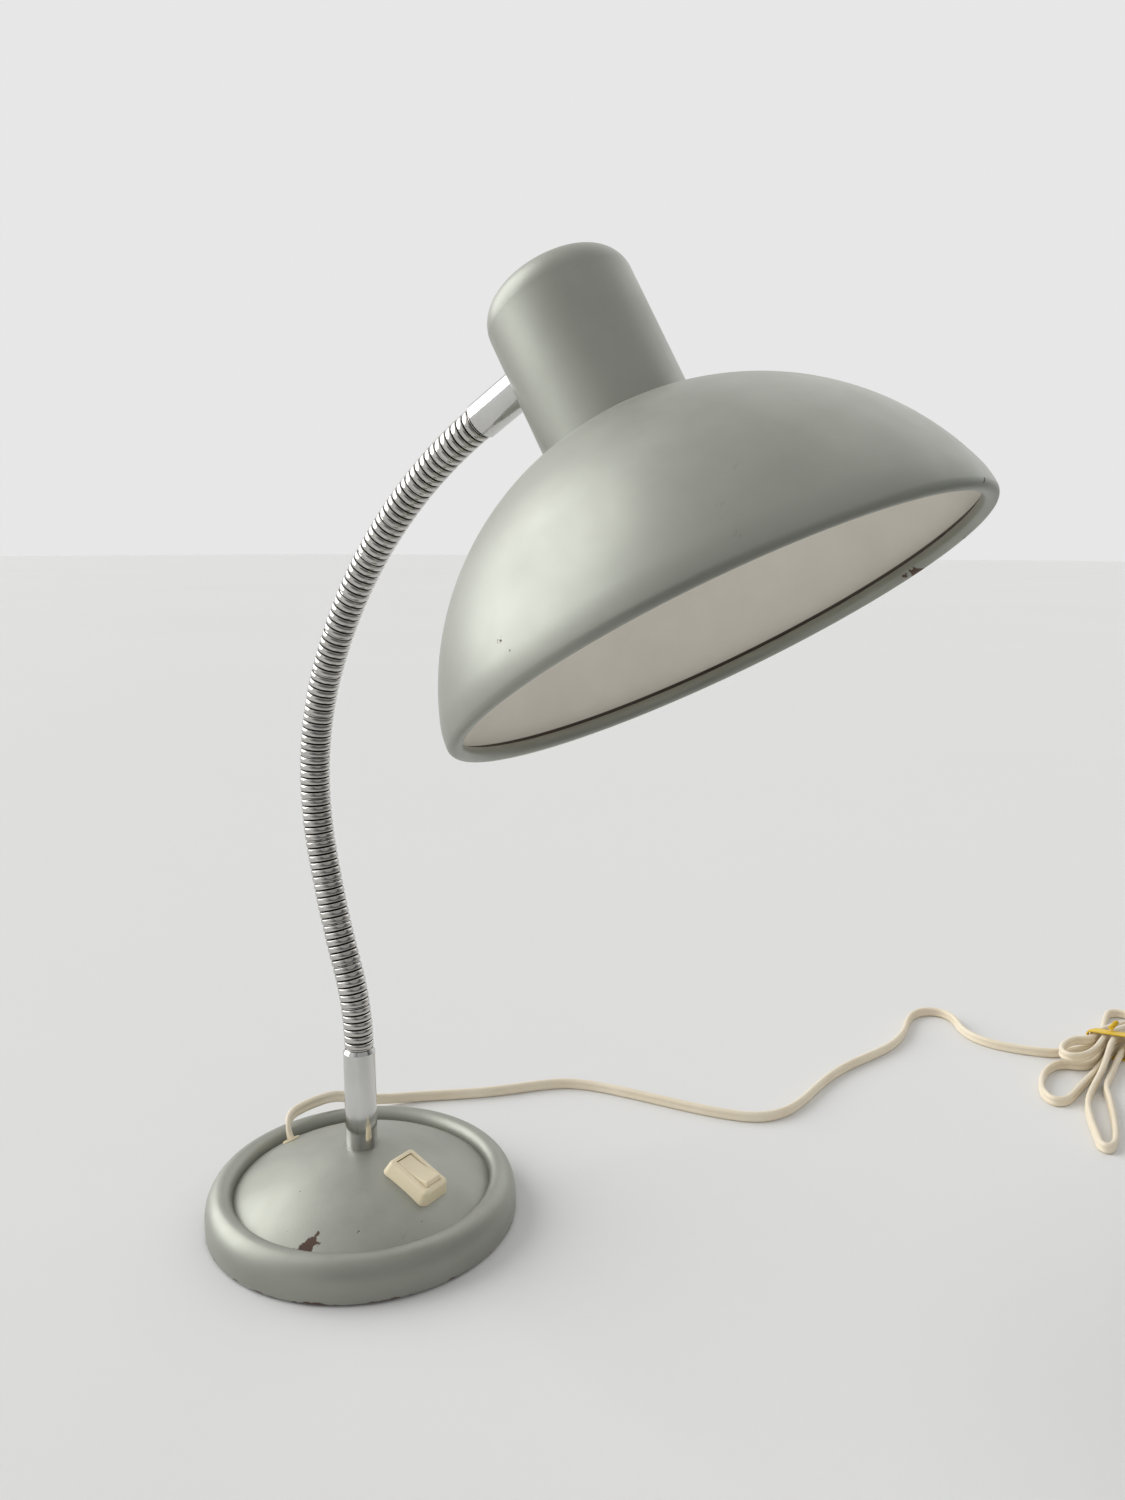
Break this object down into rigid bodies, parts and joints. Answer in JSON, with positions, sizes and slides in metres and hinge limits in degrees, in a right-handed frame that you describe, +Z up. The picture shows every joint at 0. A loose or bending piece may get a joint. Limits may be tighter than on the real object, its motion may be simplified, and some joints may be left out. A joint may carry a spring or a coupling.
{
  "type": "gooseneck desk lamp",
  "caption": "Desk lamp with a round weighted foot, a ribbed chrome gooseneck, a domed shade under a tall cap, a rocker switch in the foot and a flat cord tied in a hank.",
  "frame": {"origin": "centre of the foot pad's underside, on the table", "axes": "+Z up, +X the way the neck carries the head, +Y to the lamp's left"},
  "size_m": [0.4288, 0.6286, 0.4596],
  "materials": {
    "sage_paint": "satin metallic grey-green enamel, worn at the edges",
    "chrome": "bright plated",
    "steel": "plain zinc",
    "iron": "raw casting",
    "felt": "dark felt",
    "ivory_plastic": "aged ivory, slightly glossy",
    "ivory_cord": "soft ivory cord sheath",
    "yellow_tie": "yellow tie",
    "brass": "plain brass",
    "holder_plastic": "moulded pale plastic",
    "bulb_glass": "opal glass"
  },
  "bodies": {
    "base": {"base_cover": "steel", "base_nut": "steel", "base_shell": "sage_paint", "base_washer": "steel", "base_weight": "iron", "clamp_screws": "steel", "cord_clamp": "steel", "cord_grommet": "ivory_cord", "cord_hank": "ivory_cord", "cord_tie": "yellow_tie", "cover_screws": "steel", "foot_pad": "felt", "inner_cord": "ivory_cord", "lower_nipple": "steel", "lower_sleeve": "chrome", "plug_body": "ivory_cord", "plug_pins": "brass", "power_cord": "ivory_cord", "rocker_pin": "steel", "switch_housing": "ivory_plastic", "switch_terminals": "brass"},
    "head": {"upper_sleeve": "chrome", "upper_nipple": "steel", "upper_nut": "steel", "head_cap": "sage_paint", "holder_bracket": "steel", "holder_nipple": "steel", "holder_nuts": "steel", "lampholder_body": "holder_plastic", "lampholder_shell": "brass", "centre_contact": "brass", "shade_ring": "holder_plastic", "shade": "sage_paint", "bulb_cap": "brass", "bulb_glass": "bulb_glass"},
    "rocker": {"rocker": "ivory_plastic", "contact_bridge": "brass"},
    "link_01": {"neck_link_01": "chrome"},
    "link_02": {"neck_link_02": "chrome"},
    "link_03": {"neck_link_03": "chrome"},
    "link_04": {"neck_link_04": "chrome"},
    "link_05": {"neck_link_05": "chrome"},
    "link_06": {"neck_link_06": "chrome"},
    "link_07": {"neck_link_07": "chrome"},
    "link_08": {"neck_link_08": "chrome"},
    "link_09": {"neck_link_09": "chrome"},
    "link_10": {"neck_link_10": "chrome"},
    "link_11": {"neck_link_11": "chrome"},
    "link_12": {"neck_link_12": "chrome"},
    "link_13": {"neck_link_13": "chrome"},
    "link_14": {"neck_link_14": "chrome"},
    "link_15": {"neck_link_15": "chrome"},
    "link_16": {"neck_link_16": "chrome"}
  },
  "joints": [
    {"name": "neck_bend_lower", "type": "hinge", "parent": "base", "child": "link_01", "pos_m": [0, 0, 0.09148], "axis": [0, 1, 0], "range_deg": [-8, 8]},
    {"name": "neck_sway_lower", "type": "hinge", "parent": "link_01", "child": "link_02", "pos_m": [-0.00178, 0, 0.11315], "axis": [0.9866, 0, 0.1633], "range_deg": [-8, 8]},
    {"name": "neck_bend_lower_2", "type": "hinge", "parent": "link_02", "child": "link_03", "pos_m": [-0.00708, 0, 0.13424], "axis": [0, 1, 0], "range_deg": [-8, 8]},
    {"name": "neck_sway_lower_2", "type": "hinge", "parent": "link_03", "child": "link_04", "pos_m": [-0.01356, 0, 0.15502], "axis": [0.9619, 0, 0.2734], "range_deg": [-8, 8]},
    {"name": "neck_bend_lower_3", "type": "hinge", "parent": "link_04", "child": "link_05", "pos_m": [-0.01898, 0, 0.1761], "axis": [0, 1, 0], "range_deg": [-8, 8]},
    {"name": "neck_sway_lower_3", "type": "hinge", "parent": "link_05", "child": "link_06", "pos_m": [-0.02331, 0, 0.19743], "axis": [0.9848, 0, 0.1736], "range_deg": [-8, 8]},
    {"name": "neck_bend_lower_4", "type": "hinge", "parent": "link_06", "child": "link_07", "pos_m": [-0.0256, 0, 0.21907], "axis": [0, 1, 0], "range_deg": [-8, 8]},
    {"name": "neck_sway_lower_4", "type": "hinge", "parent": "link_07", "child": "link_08", "pos_m": [-0.0249, 0, 0.24081], "axis": [0.9949, 0, -0.1011], "range_deg": [-8, 8]},
    {"name": "neck_bend_upper", "type": "hinge", "parent": "link_08", "child": "link_09", "pos_m": [-0.02121, 0, 0.26225], "axis": [0, 1, 0], "range_deg": [-8, 8]},
    {"name": "neck_sway_upper", "type": "hinge", "parent": "link_09", "child": "link_10", "pos_m": [-0.01462, 0, 0.28297], "axis": [0.9298, 0, -0.3681], "range_deg": [-8, 8]},
    {"name": "neck_bend_upper_2", "type": "hinge", "parent": "link_10", "child": "link_11", "pos_m": [-0.00565, 0, 0.3028], "axis": [0, 1, 0], "range_deg": [-8, 8]},
    {"name": "neck_sway_upper_2", "type": "hinge", "parent": "link_11", "child": "link_12", "pos_m": [0.00517, 0, 0.32168], "axis": [0.8429, 0, -0.538], "range_deg": [-8, 8]},
    {"name": "neck_bend_upper_3", "type": "hinge", "parent": "link_12", "child": "link_13", "pos_m": [0.01774, 0, 0.33945], "axis": [0, 1, 0], "range_deg": [-8, 8]},
    {"name": "neck_sway_upper_3", "type": "hinge", "parent": "link_13", "child": "link_14", "pos_m": [0.03195, 0, 0.35593], "axis": [0.7254, 0, -0.6884], "range_deg": [-8, 8]},
    {"name": "neck_bend_upper_4", "type": "hinge", "parent": "link_14", "child": "link_15", "pos_m": [0.04767, 0, 0.37098], "axis": [0, 1, 0], "range_deg": [-8, 8]},
    {"name": "neck_sway_upper_4", "type": "hinge", "parent": "link_15", "child": "link_16", "pos_m": [0.06476, 0, 0.38445], "axis": [0.5807, 0, -0.8141], "range_deg": [-8, 8]},
    {"name": "neck_bend_upper_5", "type": "hinge", "parent": "link_16", "child": "head", "pos_m": [0.08306, 0, 0.39622], "axis": [0, 1, 0], "range_deg": [-8, 8]},
    {"name": "rocker_tip", "type": "hinge", "parent": "base", "child": "rocker", "pos_m": [0.03831, 0, 0.03238], "axis": [0, 1, 0], "range_deg": [0, 16]}
  ],
  "couplings": [
    {"joint": "neck_bend_lower_2", "follows": "neck_bend_lower", "ratio": 1},
    {"joint": "neck_sway_lower_2", "follows": "neck_sway_lower", "ratio": 1},
    {"joint": "neck_bend_lower_3", "follows": "neck_bend_lower", "ratio": 1},
    {"joint": "neck_sway_lower_3", "follows": "neck_sway_lower", "ratio": 1},
    {"joint": "neck_bend_lower_4", "follows": "neck_bend_lower", "ratio": 1},
    {"joint": "neck_sway_lower_4", "follows": "neck_sway_lower", "ratio": 1},
    {"joint": "neck_bend_upper_2", "follows": "neck_bend_upper", "ratio": 1},
    {"joint": "neck_sway_upper_2", "follows": "neck_sway_upper", "ratio": 1},
    {"joint": "neck_bend_upper_3", "follows": "neck_bend_upper", "ratio": 1},
    {"joint": "neck_sway_upper_3", "follows": "neck_sway_upper", "ratio": 1},
    {"joint": "neck_bend_upper_4", "follows": "neck_bend_upper", "ratio": 1},
    {"joint": "neck_sway_upper_4", "follows": "neck_sway_upper", "ratio": 1},
    {"joint": "neck_bend_upper_5", "follows": "neck_bend_upper", "ratio": 1}
  ]
}
